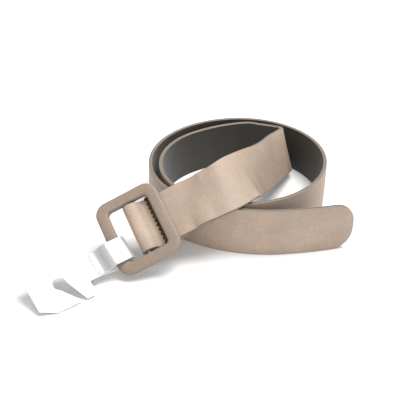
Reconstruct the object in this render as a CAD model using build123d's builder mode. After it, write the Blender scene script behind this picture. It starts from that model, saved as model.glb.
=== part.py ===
from build123d import *
from math import atan2, cos, degrees, hypot, radians, sin
import os

os.makedirs("parts", exist_ok=True)

# Frame: +X right, +Y away from the front, +Z up. The coiled strap stands on edge on Z = 0.
# The strap is followed from its rounded tip, round the coil, to the buckle.

# ---------------------------------------------------------------- driving sizes (mm, degrees)
strap_width = 38.0
face_thickness = 1.1
core_thickness = 0.6
lining_thickness = 1.1
core_inset = 1.0            # the stiffener stays this far inside the strap's edges and tip
tip_radius = 15.0           # rounding of the strap's free end

# The strap's plan is measured from the foot of its outer turn, which stands here in the part's frame.
plan_origin = Vector(32.1, -39.4)

# Coil on edge, seen from above: where the tip starts, which way it runs, and its arcs.
tip_place = (83.0, 10.0)
tip_heading = 197.0
coil_arcs = [(250, 12), (110, 37), (65, 58), (73, 90), (65, 84), (70, 95), (60, 145), (110, 20)]

# Free run from the coil's end to the buckle: middle of the strap and its lean from upright.
run_stations = [
    (14.0, 136.3, 19.1, 0),
    (26.0, 133.0, 19.6, 4),
    (36.5, 127.0, 21.0, 6),
    (43.0, 119.5, 23.0, 9),
    (44.6, 111.0, 25.5, 16),
    (40.5, 100.0, 28.5, 22),
    (33.5, 86.0, 32.0, 24),
    (25.5, 68.0, 36.3, 22),
    (17.0, 52.8, 39.8, 24),
    (9.0, 39.3, 44.2, 40),
    (0.5, 22.8, 50.5, 54),
    (-10.0, 12.8, 49.6, 58),
    (-22.0, 9.0, 44.8, 58),
    (-36.0, 7.5, 37.4, 59),
]
buckle_place = (-70.5, -2.4, 22.3)      # under the centre bar, in the strap's own middle plane
buckle_lean = 59.0
cuts_per_station = 4

# Buckle: a flat ring covered with leather, turning on a centre bar held by the strap's loop.
frame_length = 58.0         # across the strap
frame_width = 48.0          # along the strap
frame_bar = 8.5
frame_corner = 9.5
window_corner = 3.0
cover_thickness = 1.2       # leather on the front and sides
back_thickness = 0.8
core_depth = 2.6
cover_round = 1.5
back_round = 0.5
bar_diameter = 3.0
bar_seat = 1.2              # depth of each bar end in the frame core
bar_clearance = 0.05        # running fit of the strap's loop on the bar
strap_gap = 1.0             # free height between the frame's back and the strap

# The strap's turned end and the toothed clamp that closes it.
climb_length = 12.0         # along the strap, from the clamp up to the top of the bar
return_climb = 10.0
return_end = 30.0           # where the turned end stops, measured from the bar
return_gap = 0.3            # free height between the strap and its turned end
clamp_start = 12.5
clamp_length = 6.0
clamp_sheet = 0.5
clamp_side_gap = 0.3
tooth_count = 11
tooth_depth = 1.3

# Hanger: a stiff sheet with a hook slot, its neck looped round the frame's left bar.
hanger_sheet = 0.8
plate_length = 40.0
plate_up = 17.0             # plate edge above the middle of the neck
plate_down = 19.5           # plate edge below the middle of the neck
plate_corner = 2.0
plate_cut = (11.0, 6.0)     # cut-off lower far corner
neck_width = 18.0
neck_length = 27.5          # bar centre to plate
neck_lead = 6.0             # level part of the neck beside the plate
plate_lift = 3.4            # plate above the loop's underside
loop_height = 4.78          # inside half height of the loop
loop_reach = 8.3            # inside of the loop beyond the bar's centre
loop_flat = 6.0             # level part of the loop on the plate's side of the bar
tab_end = 20.0              # bar centre to the end of the loop's upper tab
tab_lead = 3.0              # level part of that tab, seated on the neck
slot_hole = 9.5             # round end of the hook slot
slot_place = (19.0, -1.5)   # its centre: back from the neck's side of the plate, up from the neck's middle
slot_throat = 7.4           # slot width at its round end
mouth_place = 9.3           # middle of the slot's mouth, back from the neck's side of the plate
mouth_width = 4.0
slot_overrun = 1.1          # the slot is cut this much longer than its way to the plate's edge
neck_place = -9.7           # where the neck sits along the bar
hanger_swing = 28.0
hanger_skew = -8.0

# ---------------------------------------------------------------- sizes that follow
strap_thickness = face_thickness + core_thickness + lining_thickness
half_strap = strap_thickness / 2
layers = {
    "strap_face": (half_strap - face_thickness, half_strap, 0.0),
    "strap_core": (lining_thickness - half_strap, half_strap - face_thickness, core_inset),
    "strap_lining": (-half_strap, lining_thickness - half_strap, 0.0),
}
bar_radius = bar_diameter / 2
loop_radius = bar_radius + bar_clearance + half_strap
tip_point = plan_origin + Vector(*tip_place)
buckle_foot = plan_origin + Vector(*buckle_place)
frame_back = -bar_radius
strap_level = frame_back - strap_gap - half_strap
return_level = strap_level - strap_thickness - return_gap
window_length = frame_length - 2 * frame_bar
window_width = frame_width - 2 * frame_bar


def unit(angle):
    return Vector(cos(radians(angle)), sin(radians(angle)))


def walk(start, heading, steps, offset):
    """Points and headings along a chain of lines and arcs, offset to the left of travel.

    Each step is (length, 0) for a line, or (radius, turn) for an arc, left turns positive.
    """
    point = start + unit(heading + 90) * offset
    corners = [(point, heading, None)]
    for size, turn in steps:
        if turn == 0:
            point = point + unit(heading) * size
            corners.append((point, heading, None))
            continue
        side = 1 if turn > 0 else -1
        radius = size - offset * side
        centre = point + unit(heading + 90 * side) * radius
        heading += turn
        point = centre - unit(heading + 90 * side) * radius
        corners.append((point, heading, (radius, turn)))
    return corners


def draw_chain(corners):
    for (start, heading, _), (end, _, arc) in zip(corners, corners[1:]):
        if arc is None:
            Line(start, end)
        else:
            JernArc(start, unit(heading), arc[0], arc[1])


def draw_ribbon(start, heading, steps, low, high):
    """Closed outline of a ribbon between two offsets of the same chain."""
    near = walk(start, heading, steps, low)
    far = walk(start, heading, steps, high)
    draw_chain(near)
    draw_chain(far)
    Line(near[0][0], far[0][0])
    Line(near[-1][0], far[-1][0])


def s_bend(length, height):
    """Radius and angle of two equal tangent arcs that step sideways by height over length."""
    angle = 2 * atan2(abs(height), length)
    return length / (2 * sin(angle)), degrees(angle)


# ---------------------------------------------------------------- the strap's free run
coil_steps = [(radius, -turn) for radius, turn in coil_arcs]
coil_end, run_heading, _ = walk(tip_point, tip_heading, coil_steps, 0)[-1]
mid_height = strap_width / 2


def across(direction, lean):
    """Direction from the strap's lower edge to its upper edge, leaning to the right of travel."""
    upright = (Vector(0, 0, 1) - direction * direction.Z).normalized()
    side = direction.cross(upright)
    return upright * cos(radians(lean)) + side * sin(radians(lean))


stations = [(Vector(coil_end.X, coil_end.Y, mid_height), 0)]
stations += [(plan_origin + Vector(x, y, z), lean) for x, y, z, lean in run_stations]
buckle_along = (buckle_foot - stations[-1][0]).normalized()
run_end = return_end + 1.0
stations.append((buckle_foot - buckle_along * run_end, buckle_lean))


def slope(index):
    """Tangent of the run at a station, scaled to one station's length."""
    if index == 0:
        return unit(run_heading) * (stations[1][0] - stations[0][0]).length
    if index == len(stations) - 1:
        return buckle_along * (stations[index][0] - stations[index - 1][0]).length
    before = stations[index][0] - stations[index - 1][0]
    after = stations[index + 1][0] - stations[index][0]
    return (before.normalized() + after.normalized()).normalized() * (before.length + after.length) / 2


def run_plane(index, t):
    """Section plane of the run: origin in the strap's middle, X towards the face, Y across."""
    (start, lean_a), (end, lean_b) = stations[index], stations[index + 1]
    span = (end - start).length
    out = slope(index).normalized() * span
    into = slope(index + 1).normalized() * span
    point = (
        start * (2 * t**3 - 3 * t**2 + 1)
        + out * (t**3 - 2 * t**2 + t)
        + end * (3 * t**2 - 2 * t**3)
        + into * (t**3 - t**2)
    )
    along = (
        start * (6 * t**2 - 6 * t)
        + out * (3 * t**2 - 4 * t + 1)
        + end * (6 * t - 6 * t**2)
        + into * (3 * t**2 - 2 * t)
    ).normalized()
    lean = lean_a + (lean_b - lean_a) * (3 * t**2 - 2 * t**3)
    up = across(along, lean)
    return Plane(origin=point, x_dir=up.cross(along), z_dir=along)


run_planes = [
    run_plane(index, cut / cuts_per_station)
    for index in range(len(stations) - 1)
    for cut in range(cuts_per_station)
]
run_planes.append(run_plane(len(stations) - 2, 1.0))

# ---------------------------------------------------------------- the buckle's planes
buckle_up = across(buckle_along, buckle_lean)
buckle_normal = buckle_up.cross(buckle_along)
bar_point = buckle_foot - buckle_normal * strap_level
# Looking on the buckle's face: X back along the strap, Y across it, Z out of the face.
buckle = Plane(origin=bar_point, x_dir=-buckle_along, z_dir=buckle_normal)
# Looking along the bar: X back along the strap, Y out of the face.
bar_section = Plane(origin=bar_point, x_dir=-buckle_along, z_dir=-buckle_up)

climb_radius, climb_angle = s_bend(climb_length, loop_radius - strap_level)
drop_radius, drop_angle = s_bend(return_climb, return_level + loop_radius)
loop_steps = [
    (run_end - climb_length, 0),
    (climb_radius, -climb_angle),
    (climb_radius, climb_angle),
    (loop_radius, 180),
    (drop_radius, -drop_angle),
    (drop_radius, drop_angle),
    (return_end - return_climb, 0),
]

# ---------------------------------------------------------------- strap layers
for name, (low, high, inset) in layers.items():
    layer_width = strap_width - 2 * inset
    with BuildPart() as layer:
        with BuildSketch(Plane.XY.offset(inset)):
            with BuildLine():
                draw_ribbon(tip_point, tip_heading, coil_steps, low, high)
            make_face()
        extrude(amount=layer_width)
        end_faces = layer.faces().filter_by(GeomType.PLANE).filter_by(Axis.Z, reverse=True)
        tip_face = end_faces.sort_by_distance(tip_point + Vector(0, 0, mid_height))[0]
        tip_edges = tip_face.edges().filter_by(Axis.Z, reverse=True)
        fillet(tip_edges, radius=tip_radius - inset)
        for plane in run_planes:
            with BuildSketch(plane):
                with Locations(((low + high) / 2, 0)):
                    Rectangle(high - low, layer_width)
        loft(ruled=True)
        with BuildSketch(bar_section):
            with BuildLine():
                draw_ribbon(Vector(run_end, strap_level), 180, loop_steps, -high, -low)
            make_face()
        extrude(amount=layer_width / 2, both=True)
    layer.part.label = name
    export_step(layer.part, f"parts/{name}.step")

# ---------------------------------------------------------------- toothed clamp
clamp_low = return_level - half_strap
clamp_high = strap_level + half_strap
clamp_middle = (clamp_low + clamp_high) / 2
clamp_inside = clamp_high - clamp_low
clamp_outside_width = strap_width + 2 * clamp_side_gap + 2 * clamp_sheet
tooth_pitch = clamp_outside_width / tooth_count

with BuildPart() as toothed_clamp:
    with BuildSketch(buckle.offset(clamp_low - clamp_sheet)):
        with Locations((clamp_start + clamp_length / 2, 0)):
            Rectangle(clamp_length, clamp_outside_width)
    extrude(amount=clamp_inside + 2 * clamp_sheet)
    with BuildSketch(buckle.offset(clamp_low)):
        with Locations((clamp_start + clamp_length / 2, 0)):
            Rectangle(clamp_length, strap_width + 2 * clamp_side_gap)
    extrude(amount=clamp_inside, mode=Mode.SUBTRACT)
    with BuildSketch(buckle.offset(clamp_high)):
        for tooth in range(tooth_count + 1):
            with Locations((clamp_start, (tooth - tooth_count / 2) * tooth_pitch)):
                Rectangle(tooth_depth * 2**0.5, tooth_depth * 2**0.5, rotation=45)
    extrude(amount=clamp_sheet, mode=Mode.SUBTRACT)
toothed_clamp.part.label = "toothed_clamp"
export_step(toothed_clamp.part, "parts/toothed_clamp.step")

# ---------------------------------------------------------------- buckle frame
core_low = frame_back + back_thickness
core_high = core_low + core_depth
frame_high = core_high + cover_thickness
bar_length = window_length + 2 * (cover_thickness + bar_seat)


def frame_ring(inset):
    """Sketch of the frame's ring, drawn in by the inset on both of its edges."""
    RectangleRounded(frame_width - 2 * inset, frame_length - 2 * inset, frame_corner - inset)
    RectangleRounded(
        window_width + 2 * inset,
        window_length + 2 * inset,
        window_corner + inset,
        mode=Mode.SUBTRACT,
    )


with BuildPart() as centre_bar:
    with BuildSketch(bar_section):
        Circle(bar_radius)
    extrude(amount=bar_length / 2, both=True)
centre_bar.part.label = "centre_bar"
export_step(centre_bar.part, "parts/centre_bar.step")

with BuildPart() as frame_core:
    with BuildSketch(buckle.offset(core_low)):
        frame_ring(cover_thickness)
    extrude(amount=core_depth)
    with BuildSketch(bar_section):
        Circle(bar_radius)
    extrude(amount=bar_length / 2, both=True, mode=Mode.SUBTRACT)
frame_core.part.label = "frame_core"
export_step(frame_core.part, "parts/frame_core.step")

with BuildPart() as frame_cover_front:
    with BuildSketch(buckle.offset(core_low)):
        frame_ring(0)
    extrude(amount=frame_high - core_low)
    top_edges = frame_cover_front.faces().sort_by(Axis(bar_point, buckle_normal))[-1].edges()
    fillet(top_edges, radius=cover_round)
    with BuildSketch(buckle.offset(core_low)):
        frame_ring(cover_thickness)
    extrude(amount=core_depth, mode=Mode.SUBTRACT)
    with BuildSketch(bar_section):
        Circle(bar_radius)
    extrude(amount=bar_length / 2, both=True, mode=Mode.SUBTRACT)
frame_cover_front.part.label = "frame_cover_front"
export_step(frame_cover_front.part, "parts/frame_cover_front.step")

with BuildPart() as frame_cover_back:
    with BuildSketch(buckle.offset(frame_back)):
        frame_ring(0)
    extrude(amount=back_thickness)
    back_edges = frame_cover_back.faces().sort_by(Axis(bar_point, buckle_normal))[0].edges()
    fillet(back_edges, radius=back_round)
    with BuildSketch(bar_section):
        Circle(bar_radius)
    extrude(amount=bar_length / 2, both=True, mode=Mode.SUBTRACT)
frame_cover_back.part.label = "frame_cover_back"
export_step(frame_cover_back.part, "parts/frame_cover_back.step")

# ---------------------------------------------------------------- hanger
half_sheet = hanger_sheet / 2
left_bar = bar_point + buckle_along * (frame_width - frame_bar) / 2
left_bar += buckle_normal * (frame_back + frame_high) / 2 + buckle_up * neck_place
swung = buckle_along * cos(radians(hanger_swing)) + buckle_normal * sin(radians(hanger_swing))
hanger_along = swung * cos(radians(hanger_skew)) + buckle_up * sin(radians(hanger_skew))
hanger_normal = (buckle_up - hanger_along * buckle_up.dot(hanger_along)).normalized().cross(hanger_along)
hanger_up = hanger_along.cross(hanger_normal)
hanger = Plane(origin=left_bar, x_dir=-hanger_along, z_dir=hanger_normal)
neck_section = Plane(origin=left_bar, x_dir=-hanger_along, z_dir=-hanger_up)

loop_middle = loop_height + half_sheet
turn_radius = loop_middle
turn_centre = loop_reach + half_sheet - turn_radius
plate_level = plate_lift - loop_middle
tab_level = plate_level + hanger_sheet
under_radius, under_angle = s_bend(neck_length - neck_lead - loop_flat, plate_lift)
over_radius, over_angle = s_bend(tab_end - tab_lead - loop_flat, loop_middle - tab_level)
neck_steps = [
    (neck_lead, 0),
    (under_radius, -under_angle),
    (under_radius, under_angle),
    (loop_flat + turn_centre, 0),
    (turn_radius, 180),
    (turn_centre + loop_flat, 0),
    (over_radius, over_angle),
    (over_radius, -over_angle),
    (tab_lead, 0),
]
plate_middle = -(neck_length + plate_length / 2)
slot_centre = Vector(-neck_length - slot_place[0], slot_place[1])
slot_way = (Vector(-neck_length - mouth_place, -plate_down) - slot_centre) * slot_overrun
slot_side = slot_way.cross(Vector(0, 0, 1)).normalized()
slot_mouth = slot_centre + slot_way

with BuildPart() as hanger_tag:
    with BuildSketch(neck_section):
        with BuildLine():
            draw_ribbon(Vector(-neck_length, plate_level), 0, neck_steps, -half_sheet, half_sheet)
        make_face()
    extrude(amount=neck_width / 2, both=True)
    with BuildSketch(hanger.offset(plate_level - half_sheet)):
        with Locations((plate_middle, (plate_up - plate_down) / 2)):
            RectangleRounded(plate_length, plate_up + plate_down, plate_corner)
        with BuildLine():
            far_low = Vector(-neck_length - plate_length, -plate_down)
            Polyline(
                far_low,
                far_low + Vector(plate_cut[0], 0),
                far_low + Vector(0, plate_cut[1]),
                close=True,
            )
        make_face(mode=Mode.SUBTRACT)
    extrude(amount=hanger_sheet)
    with BuildSketch(hanger.offset(plate_level - half_sheet)):
        with Locations(slot_centre):
            Circle(slot_hole / 2)
        with BuildLine():
            Polyline(
                slot_centre + slot_side * slot_throat / 2,
                slot_mouth + slot_side * mouth_width / 2,
                slot_mouth - slot_side * mouth_width / 2,
                slot_centre - slot_side * slot_throat / 2,
                close=True,
            )
        make_face()
    extrude(amount=hanger_sheet, mode=Mode.SUBTRACT)
hanger_tag.part.label = "hanger"
export_step(hanger_tag.part, "parts/hanger.step")
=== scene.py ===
from math import atan2, ceil, cos, degrees, pi, radians, sin, sqrt

import bmesh
import bpy
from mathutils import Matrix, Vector, noise


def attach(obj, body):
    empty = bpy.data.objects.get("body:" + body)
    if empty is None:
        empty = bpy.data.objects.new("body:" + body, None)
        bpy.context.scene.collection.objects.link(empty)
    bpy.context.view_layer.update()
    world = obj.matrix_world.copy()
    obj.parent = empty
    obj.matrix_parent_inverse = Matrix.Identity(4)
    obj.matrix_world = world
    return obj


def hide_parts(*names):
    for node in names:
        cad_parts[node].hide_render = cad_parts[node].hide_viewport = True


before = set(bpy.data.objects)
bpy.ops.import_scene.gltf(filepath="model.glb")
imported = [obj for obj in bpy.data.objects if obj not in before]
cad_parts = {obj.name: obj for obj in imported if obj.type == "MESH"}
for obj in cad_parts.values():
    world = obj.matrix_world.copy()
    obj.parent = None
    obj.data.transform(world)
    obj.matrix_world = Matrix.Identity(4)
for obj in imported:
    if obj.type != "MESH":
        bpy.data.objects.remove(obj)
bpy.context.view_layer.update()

# All shapes are worked out in millimetres, in the CAD model's frame, and written to Blender in metres.
METRES = 0.001

# ---------------------------------------------------------------- the strap's route, as in the CAD model
# The arcs (radius, turn) and the stations (x, y, z, lean) were fitted to the photographed strap by a
# separate program, then rounded and adjusted.
PLAN_ORIGIN = Vector((32.1, -39.4, 0.0))
TIP_PLACE = Vector((83.0, 10.0, 0.0))
TIP_HEADING = 197.0
COIL_ARCS = [(250, 12), (110, 37), (65, 58), (73, 90), (65, 84), (70, 95), (60, 145), (110, 20)]
RUN_STATIONS = [
    (14.0, 136.3, 19.1, 0),
    (26.0, 133.0, 19.6, 4),
    (36.5, 127.0, 21.0, 6),
    (43.0, 119.5, 23.0, 9),
    (44.6, 111.0, 25.5, 16),
    (40.5, 100.0, 28.5, 22),
    (33.5, 86.0, 32.0, 24),
    (25.5, 68.0, 36.3, 22),
    (17.0, 52.8, 39.8, 24),
    (9.0, 39.3, 44.2, 40),
    (0.5, 22.8, 50.5, 54),
    (-10.0, 12.8, 49.6, 58),
    (-22.0, 9.0, 44.8, 58),
    (-36.0, 7.5, 37.4, 59),
]
BUCKLE_PLACE = Vector((-70.5, -2.4, 22.3))
BUCKLE_LEAN = 59.0

# ---------------------------------------------------------------- sizes, as in the CAD model
STRAP_WIDTH = 38.0
FACE_THICKNESS = 1.1
CORE_THICKNESS = 0.6
LINING_THICKNESS = 1.1
TIP_RADIUS = 15.0
BAR_RADIUS = 1.5
BAR_CLEARANCE = 0.05
STRAP_GAP = 1.0
CLIMB_LENGTH = 12.0
RETURN_CLIMB = 10.0
RETURN_END = 30.0
RETURN_GAP = 0.3
FRAME_LENGTH = 58.0
FRAME_WIDTH = 48.0
FRAME_BAR = 8.5
FRAME_CORNER = 9.5
WINDOW_CORNER = 3.0
FRAME_TOP = 3.1
COVER_JOINT = -0.7
HANGER_SHEET = 0.8
PLATE_LENGTH = 40.0
PLATE_UP = 17.0
PLATE_DOWN = 19.5
PLATE_CORNER = 2.0
PLATE_CUT = (11.0, 6.0)
NECK_WIDTH = 18.0
NECK_LENGTH = 27.5
NECK_LEAD = 6.0
PLATE_LIFT = 3.4
LOOP_HEIGHT = 4.78
LOOP_REACH = 8.3
LOOP_FLAT = 6.0
TAB_END = 20.0
TAB_LEAD = 3.0
SLOT_HOLE = 9.5
SLOT_PLACE = (19.0, -1.5)
SLOT_THROAT = 7.4
MOUTH_PLACE = 9.3
MOUTH_WIDTH = 4.0
NECK_PLACE = -9.7
HANGER_SWING = 28.0
HANGER_SKEW = -8.0

# ---------------------------------------------------------------- sizes that only the looks have
CUT_SPACING = 1.1           # between two cross-sections of the strap
EDGE_ROUND = 0.45           # rounding of the leather's outer edges
CROWN = 0.18                # the strap's face stands this much higher in its middle
SWAY = 0.3                  # unevenness of the strap's surface
CORE_SINK = 0.22            # the painted edge lies this much inside the leather's edges
EDGE_BAND = 0.8             # the edge paint reaches this far round onto the leather
RUN_TAIL = 1.0              # the free run goes on this far past the strap's turned end
TIP_CUTS = 16               # cross-sections over the rounding of the free end
SWAY_LENGTH = 70.0          # along the strap, from one uneven place to the next
SWAY_ACROSS = 45.0
SWAY_SEED = 3.7
CALM_LENGTH = 95.0          # no unevenness over this last stretch, near the bar
CALM_FADE = 60.0
TIP_FADE = 10.0
RIPPLE = 0.09               # unevenness of the buckle's leather
RIPPLE_LENGTH = 6.0
RIPPLE_DEPTH = 5.0
RIPPLE_SEED = 2.0
COVER_HALF_GAP = 0.03       # from the joint of the two covers to each of them
NECK_FILLET = 1.0           # inner corner between the hanger's neck and its plate
STRIP_SPACING = 0.7         # between two rows of the hanger's bent strip
TAB_ROUND = 2.5
CARD_BEVEL = 0.16

half_strap = (FACE_THICKNESS + CORE_THICKNESS + LINING_THICKNESS) / 2
half_width = STRAP_WIDTH / 2
loop_radius = BAR_RADIUS + BAR_CLEARANCE + half_strap
strap_level = -BAR_RADIUS - STRAP_GAP - half_strap
return_level = strap_level - 2 * half_strap - RETURN_GAP
run_end = RETURN_END + RUN_TAIL


# ---------------------------------------------------------------- geometry helpers
def unit(angle):
    return Vector((cos(radians(angle)), sin(radians(angle)), 0.0))


def s_bend(length, height):
    """Radius and angle of two equal tangent arcs that step sideways by height over length."""
    angle = 2 * atan2(abs(height), length)
    return length / (2 * sin(angle)), degrees(angle)


def chain_length(steps):
    return sum(size if turn == 0 else size * radians(abs(turn)) for size, turn in steps)


def chain_at(start, heading, steps, distance):
    """Point and heading at a distance along lines (length, 0) and arcs (radius, turn), left positive."""
    point = start.copy()
    for size, turn in steps:
        length = size if turn == 0 else size * radians(abs(turn))
        part = min(max(distance, 0.0), length) / length
        if turn == 0:
            point += unit(heading) * size * part
        else:
            side = 90 if turn > 0 else -90
            centre = point + unit(heading + side) * size
            heading += turn * part
            point = centre - unit(heading + side) * size
        distance -= length
        if distance <= 0:
            break
    return point, heading


def across(direction, lean):
    """Direction from the strap's lower edge to its upper edge, leaning to the right of travel."""
    upright = (Vector((0, 0, 1)) - direction * direction.z).normalized()
    return upright * cos(radians(lean)) + direction.cross(upright) * sin(radians(lean))


def smooth(value):
    value = min(max(value, 0.0), 1.0)
    return value * value * (3 - 2 * value)


# ---------------------------------------------------------------- the buckle's and hanger's directions
coil_steps = [(radius, -turn) for radius, turn in COIL_ARCS]
tip_point = PLAN_ORIGIN + TIP_PLACE
coil_length = chain_length(coil_steps)
coil_end, run_heading = chain_at(tip_point, TIP_HEADING, coil_steps, coil_length)

buckle_foot = PLAN_ORIGIN + BUCKLE_PLACE
last_station = PLAN_ORIGIN + Vector(RUN_STATIONS[-1][:3])
buckle_along = (buckle_foot - last_station).normalized()
buckle_up = across(buckle_along, BUCKLE_LEAN)
buckle_normal = buckle_up.cross(buckle_along)
bar_point = buckle_foot - buckle_normal * strap_level

left_bar = bar_point + buckle_along * (FRAME_WIDTH - FRAME_BAR) / 2
left_bar += buckle_normal * (FRAME_TOP - BAR_RADIUS) / 2 + buckle_up * NECK_PLACE
swung = buckle_along * cos(radians(HANGER_SWING)) + buckle_normal * sin(radians(HANGER_SWING))
hanger_along = swung * cos(radians(HANGER_SKEW)) + buckle_up * sin(radians(HANGER_SKEW))
hanger_normal = (buckle_up - hanger_along * buckle_up.dot(hanger_along)).normalized().cross(hanger_along)
hanger_up = hanger_along.cross(hanger_normal)


def on_buckle(back, up, out):
    """A point from the bar: back along the strap, up across it, and out of the frame's face."""
    return bar_point - buckle_along * back + buckle_up * up + buckle_normal * out


def on_hanger(back, up, out):
    return left_bar - hanger_along * back + hanger_up * up + hanger_normal * out


# ---------------------------------------------------------------- the strap's cross-section planes
def coil_sections():
    """Planes round the coil, with closer cuts where the free end is rounded."""
    places = [TIP_RADIUS * (1 - cos(pi / 2 * cut / TIP_CUTS)) for cut in range(TIP_CUTS)]
    count = ceil((coil_length - TIP_RADIUS) / CUT_SPACING)
    places += [TIP_RADIUS + (coil_length - TIP_RADIUS) * cut / count for cut in range(count)]
    sections = []
    for place in places:
        point, heading = chain_at(tip_point, TIP_HEADING, coil_steps, place)
        sections.append((point + Vector((0, 0, half_width)), Vector((0, 0, 1)), unit(heading)))
    return sections


def run_sections():
    """Planes along the free run, on a smooth curve through its stations."""
    stations = [(coil_end + Vector((0, 0, half_width)), 0.0)]
    stations += [(PLAN_ORIGIN + Vector((x, y, z)), lean) for x, y, z, lean in RUN_STATIONS]
    stations.append((buckle_foot - buckle_along * run_end, BUCKLE_LEAN))
    slopes = [unit(run_heading)]
    for (before, _), (here, _), (after, _) in zip(stations, stations[1:], stations[2:]):
        slopes.append(((here - before).normalized() + (after - here).normalized()).normalized())
    slopes.append(buckle_along)
    sections = []
    for index, ((start, lean_a), (end, lean_b)) in enumerate(zip(stations, stations[1:])):
        span = (end - start).length
        out, into = slopes[index] * span, slopes[index + 1] * span
        count = ceil(span / CUT_SPACING)
        for cut in range(count):
            t = cut / count
            point = (
                start * (2 * t**3 - 3 * t**2 + 1)
                + out * (t**3 - 2 * t**2 + t)
                + end * (3 * t**2 - 2 * t**3)
                + into * (t**3 - t**2)
            )
            along = (
                start * (6 * t**2 - 6 * t)
                + out * (3 * t**2 - 4 * t + 1)
                + end * (6 * t - 6 * t**2)
                + into * (3 * t**2 - 2 * t)
            ).normalized()
            sections.append((point, across(along, lean_a + (lean_b - lean_a) * smooth(t)), along))
    return sections


def loop_sections():
    """Planes along the strap's end: up to the bar, round it and back under the strap."""
    climb_radius, climb_angle = s_bend(CLIMB_LENGTH, loop_radius - strap_level)
    drop_radius, drop_angle = s_bend(RETURN_CLIMB, return_level + loop_radius)
    steps = [
        (run_end - CLIMB_LENGTH, 0),
        (climb_radius, -climb_angle),
        (climb_radius, climb_angle),
        (loop_radius, 180),
        (drop_radius, -drop_angle),
        (drop_radius, drop_angle),
        (RETURN_END - RETURN_CLIMB, 0),
    ]
    length = chain_length(steps)
    count = ceil(length / (CUT_SPACING / 2))
    sections = []
    for cut in range(count + 1):
        place, heading = chain_at(Vector((run_end, strap_level, 0)), 180, steps, length * cut / count)
        way = unit(heading)
        along = -buckle_along * way.x + buckle_normal * way.y
        sections.append((on_buckle(place.x, 0, place.y), buckle_up, along))
    return sections


def strap_sections():
    """Every section plane of the strap, each with its distance from the tip."""
    sections = coil_sections() + run_sections() + loop_sections()
    placed, travelled = [], 0.0
    for index, (point, up, along) in enumerate(sections):
        if index:
            travelled += (point - sections[index - 1][0]).length
        placed.append((point, up, along, travelled))
    return placed


# ---------------------------------------------------------------- mesh helpers
def finish_mesh(name, vertices, faces, materials, face_slots=None, sharp=50):
    mesh = bpy.data.meshes.new(name)
    mesh.from_pydata([vertex * METRES for vertex in vertices], [], faces)
    for material in materials:
        mesh.materials.append(material)
    if face_slots:
        mesh.polygons.foreach_set("material_index", face_slots)
    tidy = bmesh.new()
    tidy.from_mesh(mesh)
    bmesh.ops.recalc_face_normals(tidy, faces=tidy.faces)
    tidy.to_mesh(mesh)
    tidy.free()
    mesh.shade_smooth()
    mesh.set_sharp_from_angle(angle=radians(sharp))
    piece = bpy.data.objects.new(name, mesh)
    bpy.context.collection.objects.link(piece)
    return piece


def rounded_section(low, high, width, round_low, round_high, crown):
    """Closed outline (out of the face, across) of a strip with round corners and a crowned high side."""
    outline = []
    corner_cuts, face_cuts = 4, 14
    corners = [
        (high, -width, round_high, -90),
        (high, width, round_high, 0),
        (low, width, round_low, 90),
        (low, -width, round_low, 180),
    ]
    for index, (out, side, radius, start) in enumerate(corners):
        centre_out = out - radius if out == high else out + radius
        centre_side = side + radius if side < 0 else side - radius
        for cut in range(corner_cuts + 1):
            angle = start + 90 * cut / corner_cuts
            point_out = centre_out + radius * cos(radians(angle))
            outline.append((point_out, centre_side + radius * sin(radians(angle))))
        if index in (0, 2):
            reach = width - radius
            lift = crown if index == 0 else 0.0
            for cut in range(1, face_cuts):
                place = -1 + 2 * cut / face_cuts
                if index == 2:
                    place = -place
                outline.append((out + lift * (1 - place**2), reach * place))
    return outline


def width_at(distance, inset):
    """Half width of the strap, which is rounded at its free end."""
    if distance >= TIP_RADIUS:
        return half_width - inset
    back = TIP_RADIUS - distance
    return half_width - TIP_RADIUS + sqrt(max(TIP_RADIUS**2 - back**2, 0.0)) - inset


def sway_at(distance, side, total):
    """Slow unevenness of the leather, none near the bar or at the free end's very edge."""
    calm = smooth((total - distance - CALM_LENGTH) / CALM_FADE) * smooth(distance / TIP_FADE)
    place = Vector((distance / SWAY_LENGTH, side / SWAY_ACROSS, SWAY_SEED))
    return SWAY * calm * noise.noise(place)


def strap_layer(name, low, high, inset, round_low, round_high, crown, materials):
    """One layer of the strap, swept along the whole route; the second material is its painted edge."""
    sections = strap_sections()
    total = sections[-1][3]
    vertices, faces, slots = [], [], []
    for point, up, along, distance in sections:
        width = width_at(distance, inset)
        normal = up.cross(along)
        for out, side in rounded_section(low, high, width, round_low, round_high, crown):
            shift = sway_at(distance, side, total)
            vertices.append(point + normal * (out + shift) + up * side)
    count = len(vertices) // len(sections)
    reference = rounded_section(low, high, half_width - inset, round_low, round_high, crown)
    for ring in range(len(sections) - 1):
        for index in range(count):
            after = (index + 1) % count
            first = ring * count
            faces.append((first + index, first + after, first + count + after, first + count + index))
            side = (abs(reference[index][1]) + abs(reference[after][1])) / 2
            slots.append(1 if side > half_width - inset - EDGE_BAND else 0)
    last = (len(sections) - 1) * count
    faces.append(tuple(range(count)))
    faces.append(tuple(range(last, last + count)))
    slots += [1, 1]
    return finish_mesh(name, vertices, faces, materials, slots)


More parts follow.
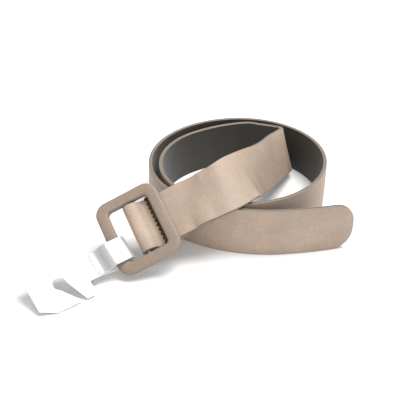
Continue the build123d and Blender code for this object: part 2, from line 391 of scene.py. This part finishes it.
def rounded_rectangle(half_x, half_y, radius, corner_cuts=10, side_cuts=10):
    """Points round a rectangle, in the same order and number whatever its size."""
    points = []
    corners = [(half_x, half_y, 0), (-half_x, half_y, 90), (-half_x, -half_y, 180), (half_x, -half_y, 270)]
    for index, (x, y, start) in enumerate(corners):
        centre = (x - radius if x > 0 else x + radius, y - radius if y > 0 else y + radius)
        for cut in range(corner_cuts + 1):
            angle = radians(start + 90 * cut / corner_cuts)
            points.append((centre[0] + radius * cos(angle), centre[1] + radius * sin(angle)))
        after = corners[(index + 1) % 4]
        end_x = after[0] - radius if after[0] > 0 else after[0] + radius
        end_y = after[1] - radius if after[1] > 0 else after[1] + radius
        angle = radians(start + 90)
        end = (end_x + radius * cos(angle), end_y + radius * sin(angle))
        begin = points[-1]
        for cut in range(1, side_cuts):
            part = cut / side_cuts
            points.append((begin[0] + (end[0] - begin[0]) * part, begin[1] + (end[1] - begin[1]) * part))
    return points


def frame_ring(name, low, high, round_low, round_high, crown, materials):
    """The buckle's ring between two levels, with soft edges and a crowned top."""
    outer = rounded_rectangle(FRAME_WIDTH / 2, FRAME_LENGTH / 2, FRAME_CORNER)
    inner = rounded_rectangle(FRAME_WIDTH / 2 - FRAME_BAR, FRAME_LENGTH / 2 - FRAME_BAR, WINDOW_CORNER)
    section = rounded_section(low, high, FRAME_BAR / 2, round_low, round_high, crown)
    vertices, faces = [], []
    for (outer_x, outer_y), (inner_x, inner_y) in zip(outer, inner):
        for out, side in section:
            part = side / FRAME_BAR + 0.5
            x = outer_x + (inner_x - outer_x) * part
            y = outer_y + (inner_y - outer_y) * part
            place = Vector((x / RIPPLE_LENGTH, y / RIPPLE_LENGTH, out / RIPPLE_DEPTH + RIPPLE_SEED))
            ripple = RIPPLE * noise.noise(place)
            vertices.append(on_buckle(x, y, out + (ripple if out > (low + high) / 2 else 0)))
    rings, count = len(outer), len(section)
    for ring in range(rings):
        start, after = ring * count, (ring + 1) % rings * count
        for index in range(count):
            beside = (index + 1) % count
            faces.append((start + index, start + beside, after + beside, after + index))
    return finish_mesh(name, vertices, faces, materials, sharp=60)


def arc_points(centre, radius, start, end, cuts):
    angles = [start + (end - start) * cut / cuts for cut in range(cuts + 1)]
    return [(centre[0] + radius * cos(radians(a)), centre[1] + radius * sin(radians(a))) for a in angles]


def plate_outline():
    """The hanger's plate, flat, from the neck's lower corner round to its upper corner."""
    right, left = -NECK_LENGTH, -NECK_LENGTH - PLATE_LENGTH
    r = PLATE_CORNER
    eye = Vector((right - SLOT_PLACE[0], SLOT_PLACE[1]))
    mouth = Vector((right - MOUTH_PLACE, -PLATE_DOWN))
    way = (mouth - eye).normalized()
    side = Vector((way.y, -way.x))
    radius = SLOT_HOLE / 2
    # where each side of the tapering slot meets the round eye, and the plate's lower edge
    opening = degrees(atan2(SLOT_THROAT / 2, sqrt(radius**2 - (SLOT_THROAT / 2) ** 2)))
    heading = degrees(atan2(way.y, way.x))
    far_mouth = mouth + side * MOUTH_WIDTH / 2
    near_mouth = mouth - side * MOUTH_WIDTH / 2
    neck = NECK_WIDTH / 2
    fillet = NECK_FILLET
    outline = [(right + NECK_LEAD, neck), (right + fillet, neck)]
    outline += arc_points((right + fillet, neck + fillet), fillet, 270, 180, 4)
    outline += arc_points((right - r, PLATE_UP - r), r, 0, 90, 6)
    outline += arc_points((left + r, PLATE_UP - r), r, 90, 180, 6)
    outline += [(left, -PLATE_DOWN + PLATE_CUT[1]), (left + PLATE_CUT[0], -PLATE_DOWN)]
    outline += [(far_mouth.x, -PLATE_DOWN)]
    outline += arc_points(eye, radius, heading - opening, heading + opening - 360, 40)
    outline += [(near_mouth.x, -PLATE_DOWN)]
    outline += arc_points((right - r, -PLATE_DOWN + r), r, 270, 360, 6)
    outline += arc_points((right + fillet, -neck - fillet), fillet, 180, 90, 4)
    outline += [(right + NECK_LEAD, -neck)]
    return outline


def hanger_strip():
    """Steps of the bent strip from the plate's neck, round the frame's bar and back onto the neck."""
    half_sheet = HANGER_SHEET / 2
    middle = LOOP_HEIGHT + half_sheet
    turn_centre = LOOP_REACH + half_sheet - middle
    level = PLATE_LIFT - middle
    under_radius, under_angle = s_bend(NECK_LENGTH - NECK_LEAD - LOOP_FLAT, PLATE_LIFT)
    over_radius, over_angle = s_bend(TAB_END - TAB_LEAD - LOOP_FLAT, middle - level - HANGER_SHEET)
    steps = [
        (under_radius, -under_angle),
        (under_radius, under_angle),
        (LOOP_FLAT + turn_centre, 0),
        (middle, 180),
        (turn_centre + LOOP_FLAT, 0),
        (over_radius, over_angle),
        (over_radius, -over_angle),
        (TAB_LEAD, 0),
    ]
    return Vector((-NECK_LENGTH + NECK_LEAD, level, 0)), steps, level


def hanger_card(white, silver):
    """The hanger as one stamped sheet: a flat plate and a strip bent round the frame's bar."""
    start, steps, level = hanger_strip()
    vertices = [on_hanger(x, y, level) for x, y in plate_outline()]
    faces = [tuple(range(len(vertices)))]
    length = chain_length(steps)
    rows = ceil(length / STRIP_SPACING)
    side_cuts = 6
    last = [len(vertices) - 1] + [None] * (side_cuts - 1) + [0]
    for column in range(1, side_cuts):
        y = -NECK_WIDTH / 2 + NECK_WIDTH * column / side_cuts
        last[column] = len(vertices)
        vertices.append(on_hanger(start.x, y, level))
    faces[0] = tuple(range(0, last[0] + 1)) + tuple(last[1:side_cuts])
    for row in range(1, rows + 1):
        distance = length * row / rows
        place, _ = chain_at(start, 0, steps, distance)
        left_over = length - distance
        narrow = 0.0
        if left_over < TAB_ROUND:
            narrow = TAB_ROUND - sqrt(max(TAB_ROUND**2 - (TAB_ROUND - left_over) ** 2, 0.0))
        here = []
        for column in range(side_cuts + 1):
            y = (-1 + 2 * column / side_cuts) * (NECK_WIDTH / 2 - narrow)
            here.append(len(vertices))
            vertices.append(on_hanger(place.x, y, place.y))
        for column in range(side_cuts):
            faces.append((last[column], here[column], here[column + 1], last[column + 1]))
        last = here
    mesh = bpy.data.meshes.new("hanger_card")
    mesh.from_pydata([vertex * METRES for vertex in vertices], [], faces)
    sheet = bmesh.new()
    sheet.from_mesh(mesh)
    bmesh.ops.recalc_face_normals(sheet, faces=sheet.faces)
    sheet.faces.ensure_lookup_table()
    if sheet.faces[0].normal.dot(hanger_normal) < 0:
        bmesh.ops.reverse_faces(sheet, faces=sheet.faces)
    sheet.to_mesh(mesh)
    sheet.free()
    for material in (white, silver):
        mesh.materials.append(material)
    card = bpy.data.objects.new("hanger_card", mesh)
    bpy.context.collection.objects.link(card)
    thicken = card.modifiers.new("sheet", "SOLIDIFY")
    thicken.thickness = HANGER_SHEET * METRES
    thicken.offset = 0.0
    thicken.material_offset = 1
    thicken.material_offset_rim = 0
    soften = card.modifiers.new("edges", "BEVEL")
    soften.width = CARD_BEVEL * METRES
    soften.segments = 2
    soften.limit_method = "ANGLE"
    soften.angle_limit = radians(50)
    mesh.shade_smooth()
    return card


# ---------------------------------------------------------------- materials
def new_material(name, roughness, metallic=0.0, specular=0.5):
    material = bpy.data.materials.new(name)
    material.use_nodes = True
    shader = material.node_tree.nodes["Principled BSDF"]
    shader.inputs["Roughness"].default_value = roughness
    shader.inputs["Metallic"].default_value = metallic
    shader.inputs["Specular IOR Level"].default_value = specular
    return material, material.node_tree.nodes, material.node_tree.links, shader


def place_texture(nodes, links, kind, scale, **values):
    """A texture node that reads the object's own coordinates, at a scale per metre."""
    where = nodes.new("ShaderNodeTexCoord")
    texture = nodes.new(kind)
    links.new(where.outputs["Object"], texture.inputs["Vector"])
    texture.inputs["Scale"].default_value = scale
    for key, value in values.items():
        texture.inputs[key].default_value = value
    return texture


def map_range(nodes, links, source, low, high, from_low=0.0, from_high=1.0):
    node = nodes.new("ShaderNodeMapRange")
    node.inputs["From Min"].default_value = from_low
    node.inputs["From Max"].default_value = from_high
    node.inputs["To Min"].default_value = low
    node.inputs["To Max"].default_value = high
    links.new(source, node.inputs["Value"])
    return node.outputs["Result"]


def mix_colour(nodes, links, factor, first, second):
    node = nodes.new("ShaderNodeMix")
    node.data_type = "RGBA"
    links.new(factor, node.inputs["Factor"])
    for socket, value in ((node.inputs[6], first), (node.inputs[7], second)):
        if isinstance(value, tuple):
            socket.default_value = (*value, 1.0)
        else:
            links.new(value, socket)
    return node.outputs[2]


def shade(colour, amount):
    return tuple(channel * amount for channel in colour)


def leather(name, colour, cells_per_metre, depth_mm, roughness, patches=0.14, sheen=0.0, specular=0.4):
    """Grained leather: pebbles with fine pores, slow colour patches and painted shade in the creases
    between the pebbles.
    """
    material, nodes, links, shader = new_material(name, roughness, specular=specular)
    cells = place_texture(nodes, links, "ShaderNodeTexVoronoi", cells_per_metre, Randomness=1.0)
    cells.feature = "SMOOTH_F1"
    cells.inputs["Smoothness"].default_value = 0.35
    pores = place_texture(
        nodes, links, "ShaderNodeTexNoise", cells_per_metre * 3.1, Detail=3.0, Roughness=0.6
    )
    drift = place_texture(nodes, links, "ShaderNodeTexNoise", 34.0, Detail=4.0, Roughness=0.55)
    flecks = place_texture(nodes, links, "ShaderNodeTexNoise", 420.0, Detail=2.0, Roughness=0.5)
    tone = mix_colour(
        nodes, links, map_range(nodes, links, drift.outputs["Fac"], 0.0, 1.0, 0.3, 0.7),
        shade(colour, 1 - patches), shade(colour, 1 + patches),
    )
    mottled = mix_colour(
        nodes, links, map_range(nodes, links, flecks.outputs["Fac"], 0.0, 0.28, 0.45, 0.75),
        tone, shade(colour, 0.72),
    )
    # painted shade: the colour darkens towards the cell borders, in the grain's valleys, where shade falls
    crease_painted_shade = mix_colour(
        nodes, links, map_range(nodes, links, cells.outputs["Distance"], 0.0, 0.38, 0.35, 0.8),
        mottled, shade(colour, 0.55),
    )
    links.new(crease_painted_shade, shader.inputs["Base Color"])
    gloss = map_range(nodes, links, drift.outputs["Fac"], roughness - 0.06, roughness + 0.08, 0.3, 0.7)
    links.new(gloss, shader.inputs["Roughness"])
    height = nodes.new("ShaderNodeMath")
    height.operation = "MULTIPLY_ADD"
    links.new(cells.outputs["Distance"], height.inputs[0])
    height.inputs[1].default_value = -1.0
    links.new(map_range(nodes, links, pores.outputs["Fac"], 0.0, 0.35), height.inputs[2])
    bump = nodes.new("ShaderNodeBump")
    bump.inputs["Strength"].default_value = 0.55
    bump.inputs["Distance"].default_value = depth_mm * METRES
    links.new(height.outputs["Value"], bump.inputs["Height"])
    links.new(bump.outputs["Normal"], shader.inputs["Normal"])
    shader.inputs["Sheen Weight"].default_value = sheen
    shader.inputs["Sheen Roughness"].default_value = 0.5
    return material


def edge_paint(name, colour):
    """Painted leather edge: smooth, slightly wavy, with darker spots where the fibres show."""
    material, nodes, links, shader = new_material(name, 0.42, specular=0.45)
    fibres = place_texture(nodes, links, "ShaderNodeTexNoise", 900.0, Detail=4.0, Roughness=0.65)
    tone = mix_colour(
        nodes, links, map_range(nodes, links, fibres.outputs["Fac"], 0.0, 1.0, 0.35, 0.7),
        shade(colour, 0.78), shade(colour, 1.12),
    )
    links.new(tone, shader.inputs["Base Color"])
    bump = nodes.new("ShaderNodeBump")
    bump.inputs["Strength"].default_value = 0.4
    bump.inputs["Distance"].default_value = 0.08 * METRES
    links.new(fibres.outputs["Fac"], bump.inputs["Height"])
    links.new(bump.outputs["Normal"], shader.inputs["Normal"])
    return material


def worn_metal(name, colour, worn, roughness):
    """Plated metal with fine drawn lines and lighter rubbed places."""
    material, nodes, links, shader = new_material(name, roughness, metallic=1.0)
    rubbed = place_texture(nodes, links, "ShaderNodeTexNoise", 500.0, Detail=5.0, Roughness=0.6)
    rubbed_share = map_range(nodes, links, rubbed.outputs["Fac"], 0.0, 1.0, 0.5, 0.72)
    links.new(mix_colour(nodes, links, rubbed_share, colour, worn), shader.inputs["Base Color"])
    links.new(
        map_range(nodes, links, rubbed.outputs["Fac"], roughness - 0.08, roughness + 0.12, 0.3, 0.7),
        shader.inputs["Roughness"],
    )
    lines = place_texture(nodes, links, "ShaderNodeTexNoise", 4000.0, Detail=2.0)
    bump = nodes.new("ShaderNodeBump")
    bump.inputs["Strength"].default_value = 0.25
    bump.inputs["Distance"].default_value = 0.02 * METRES
    links.new(lines.outputs["Fac"], bump.inputs["Height"])
    links.new(bump.outputs["Normal"], shader.inputs["Normal"])
    return material


def sheet_plastic(name, colour, roughness, metallic, clouds):
    """Stiff stamped sheet: faint clouds in its colour, a soft orange-peel surface and fine scuffs."""
    material, nodes, links, shader = new_material(name, roughness, metallic=metallic)
    cloud = place_texture(nodes, links, "ShaderNodeTexNoise", 70.0, Detail=3.0, Roughness=0.5)
    scuffs = place_texture(
        nodes, links, "ShaderNodeTexNoise", 1500.0, Detail=4.0, Roughness=0.7, Distortion=0.6
    )
    links.new(
        mix_colour(
            nodes, links, map_range(nodes, links, cloud.outputs["Fac"], 0.0, 1.0, 0.3, 0.7),
            shade(colour, 1 - clouds), shade(colour, 1 + clouds),
        ),
        shader.inputs["Base Color"],
    )
    links.new(
        map_range(nodes, links, scuffs.outputs["Fac"], roughness - 0.05, roughness + 0.12, 0.35, 0.75),
        shader.inputs["Roughness"],
    )
    bump = nodes.new("ShaderNodeBump")
    bump.inputs["Strength"].default_value = 0.3
    bump.inputs["Distance"].default_value = 0.03 * METRES
    links.new(cloud.outputs["Fac"], bump.inputs["Height"])
    links.new(bump.outputs["Normal"], shader.inputs["Normal"])
    return material


def floor_paint():
    material, nodes, links, shader = new_material("pale_floor", 0.75, specular=0.2)
    grain = place_texture(nodes, links, "ShaderNodeTexNoise", 9.0, Detail=3.0)
    links.new(
        mix_colour(nodes, links, grain.outputs["Fac"], (0.86, 0.86, 0.855), (0.9, 0.9, 0.895)),
        shader.inputs["Base Color"],
    )
    return material


TAUPE = (0.375, 0.285, 0.222)
BUCKLE_TAUPE = (0.262, 0.2, 0.155)
LINING = (0.034, 0.029, 0.023)
EDGE = (0.215, 0.172, 0.138)

strap_leather = leather("strap_leather", TAUPE, 1500.0, 0.1, 0.55)
lining_leather = leather("lining_leather", LINING, 1900.0, 0.05, 0.6, patches=0.2, sheen=0.15)
buckle_leather = leather("buckle_leather", BUCKLE_TAUPE, 1700.0, 0.08, 0.5, patches=0.1)
strap_edge = edge_paint("strap_edge_paint", EDGE)
# the clamp's own dark bronze, darkened further as painted shade of the slot under the frame's right bar
shade_darkened_bronze = worn_metal("clamp_bronze", (0.075, 0.045, 0.028), (0.2, 0.13, 0.08), 0.42)
steel = worn_metal("bar_steel", (0.5, 0.49, 0.47), (0.62, 0.61, 0.59), 0.35)
white_sheet = sheet_plastic("hanger_white", (0.82, 0.82, 0.815), 0.36, 0.0, 0.02)
silver_sheet = sheet_plastic("hanger_silver", (0.46, 0.45, 0.44), 0.33, 0.35, 0.05)
moulded = sheet_plastic("frame_moulding", (0.1, 0.09, 0.08), 0.5, 0.0, 0.08)

# ---------------------------------------------------------------- the strap
face_low, face_high = half_strap - FACE_THICKNESS, half_strap
lining_low, lining_high = -half_strap, LINING_THICKNESS - half_strap

strap_outer = strap_layer(
    "strap_outer", face_low, face_high, 0.0, 0.05, EDGE_ROUND, CROWN, [strap_leather, strap_edge]
)
strap_middle = strap_layer(
    "strap_middle", lining_high, face_low, CORE_SINK, 0.1, 0.1, 0.0, [strap_edge, strap_edge]
)
strap_inner = strap_layer(
    "strap_inner", lining_low, lining_high, 0.0, EDGE_ROUND, 0.05, 0.0, [lining_leather, strap_edge]
)
for piece, node, slot in (
    (strap_outer, "strap_face", "strap_leather"),
    (strap_middle, "strap_core", "stiffener"),
    (strap_inner, "strap_lining", "lining_leather"),
):
    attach(piece, "strap")
    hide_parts(node)

# ---------------------------------------------------------------- the buckle
frame_front = frame_ring(
    "frame_wrap_front", COVER_JOINT + COVER_HALF_GAP, FRAME_TOP, 0.25, 1.5, 0.22, [buckle_leather]
)
frame_back = frame_ring(
    "frame_wrap_back", -BAR_RADIUS, COVER_JOINT - COVER_HALF_GAP, 0.4, 0.15, 0.0, [buckle_leather]
)
for piece, node in ((frame_front, "frame_cover_front"), (frame_back, "frame_cover_back")):
    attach(piece, "buckle")
    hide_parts(node)

for node, material in (("toothed_clamp", shade_darkened_bronze), ("centre_bar", steel), ("frame_core", moulded)):
    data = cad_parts[node].data
    data.materials.clear()
    data.materials.append(material)

# ---------------------------------------------------------------- the hanger
card = hanger_card(white_sheet, silver_sheet)
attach(card, "hanger")
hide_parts("hanger")


# ---------------------------------------------------------------- stage, light and camera
def aim(thing, target):
    thing.rotation_euler = (target - thing.location).to_track_quat("-Z", "Y").to_euler()


def area_light(name, place, target, size, power):
    data = bpy.data.lights.new(name, "AREA")
    data.shape = "DISK"
    data.size = size
    data.energy = power
    light = bpy.data.objects.new(name, data)
    light.location = place
    bpy.context.collection.objects.link(light)
    aim(light, target)
    return light


def pale_floor(size):
    mesh = bpy.data.meshes.new("floor")
    corners = [(-size, -size, 0), (size, -size, 0), (size, size, 0), (-size, size, 0)]
    mesh.from_pydata(corners, [], [(0, 1, 2, 3)])
    mesh.materials.append(floor_paint())
    floor = bpy.data.objects.new("floor", mesh)
    bpy.context.collection.objects.link(floor)


CAMERA_TARGET = Vector((4.4, 2.9, 19.0)) * METRES
CAMERA_DISTANCE = 0.530
CAMERA_ELEVATION = 33.0
CAMERA_LENS = 62.25

pale_floor(6.0)
area_light("key", (0.28, 0.10, 0.95), Vector((0, 0, 0.02)), 0.7, 13.0)
area_light("front_fill", (0.15, -1.2, 0.55), Vector((0, 0, 0.02)), 1.0, 5.0)

world = bpy.data.worlds.new("studio")
world.use_nodes = True
world.node_tree.nodes["Background"].inputs["Color"].default_value = (1.0, 1.0, 1.0, 1.0)
world.node_tree.nodes["Background"].inputs["Strength"].default_value = 0.62
bpy.context.scene.world = world
bpy.context.scene.view_settings.view_transform = "Standard"

camera_data = bpy.data.cameras.new("camera")
camera_data.lens = CAMERA_LENS
camera_data.clip_start = 0.01
camera = bpy.data.objects.new("camera", camera_data)
elevation = radians(CAMERA_ELEVATION)
camera.location = CAMERA_TARGET + Vector((0, -cos(elevation), sin(elevation))) * CAMERA_DISTANCE
bpy.context.collection.objects.link(camera)
aim(camera, CAMERA_TARGET)
bpy.context.scene.camera = camera
